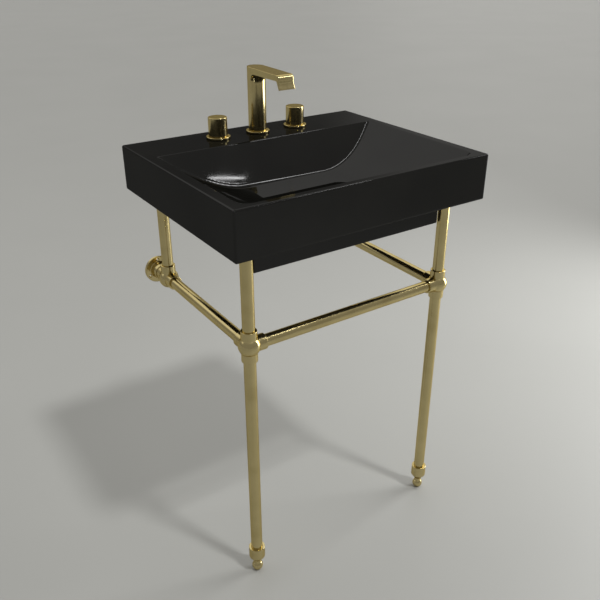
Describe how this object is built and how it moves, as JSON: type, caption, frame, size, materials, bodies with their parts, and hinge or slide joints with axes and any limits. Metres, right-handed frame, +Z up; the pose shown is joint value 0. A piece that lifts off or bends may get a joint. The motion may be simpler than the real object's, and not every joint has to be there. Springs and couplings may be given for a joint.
{
  "type": "wall-mounted sink",
  "caption": "Rectangular black glazed wall-mounted sink on a brass tube stand with levelling feet, a tall flat spout, round knob handles and a lift-up drain stopper.",
  "frame": {"origin": "on the wall plane, midway between the basin's two wall bolt holes", "axes": "+Z up, +Y into the wall, so the basin stands out towards -Y, and +X to the right of a person facing it"},
  "size_m": [0.603, 0.489, 1.051],
  "materials": {
    "glaze": "gloss",
    "brass": "polished",
    "rubber": "matte",
    "steel": "plain",
    "cartridge": "matte",
    "mesh": "matte"
  },
  "bodies": {
    "sink": {"aerator": "mesh", "basin": "glaze", "cold_base_ring": "brass", "cold_bonnet_nut": "brass", "cold_cartridge": "cartridge", "cold_valve_body": "brass", "coupling_nuts": "brass", "crossover_tube_left": "brass", "crossover_tube_right": "brass", "deck_gaskets": "rubber", "deck_nuts": "brass", "deck_washers": "steel", "drain_body": "brass", "drain_gasket": "rubber", "drain_locknut": "brass", "fitting_grub_screws": "steel", "foot_cup_left": "brass", "foot_cup_right": "brass", "front_fitting_left": "brass", "front_fitting_right": "brass", "front_post_left": "brass", "front_post_right": "brass", "front_rail": "brass", "hot_base_ring": "brass", "hot_bonnet_nut": "brass", "hot_cartridge": "cartridge", "hot_valve_body": "brass", "leg_left": "brass", "leg_right": "brass", "rear_fitting_left": "brass", "rear_fitting_right": "brass", "rear_post_left": "brass", "rear_post_right": "brass", "side_rail_left": "brass", "side_rail_right": "brass", "spout": "brass", "spout_base_ring": "brass", "spout_shank": "brass", "spout_tee": "brass", "support_pads": "rubber", "tailpiece": "brass", "wall_flange_left": "brass", "wall_flange_right": "brass", "wall_nipple_left": "brass", "wall_nipple_right": "brass"},
    "hot_handle": {"hot_knob": "brass", "hot_stem": "steel", "hot_knob_screw": "steel"},
    "cold_handle": {"cold_knob": "brass", "cold_stem": "steel", "cold_knob_screw": "steel"},
    "drain_stopper": {"drain_plug": "brass"},
    "foot_left": {"levelling_foot_left": "brass"},
    "foot_right": {"levelling_foot_right": "brass"}
  },
  "joints": [
    {"name": "hot_turn", "type": "hinge", "parent": "sink", "child": "hot_handle", "pos_m": [-0.1016, -0.066, 0.08], "axis": [0, 0, 1], "range_deg": [0, 90]},
    {"name": "cold_turn", "type": "hinge", "parent": "sink", "child": "cold_handle", "pos_m": [0.1016, -0.066, 0.08], "axis": [0, 0, -1], "range_deg": [0, 90]},
    {"name": "plug_lift", "type": "slide", "parent": "sink", "child": "drain_stopper", "axis": [0, 0, 1], "range_m": [0, 0.01]},
    {"name": "foot_left_level", "type": "slide", "parent": "sink", "child": "foot_left", "axis": [0, 0, -1], "range_m": [0, 0.012]},
    {"name": "foot_right_level", "type": "slide", "parent": "sink", "child": "foot_right", "axis": [0, 0, -1], "range_m": [0, 0.012]}
  ]
}
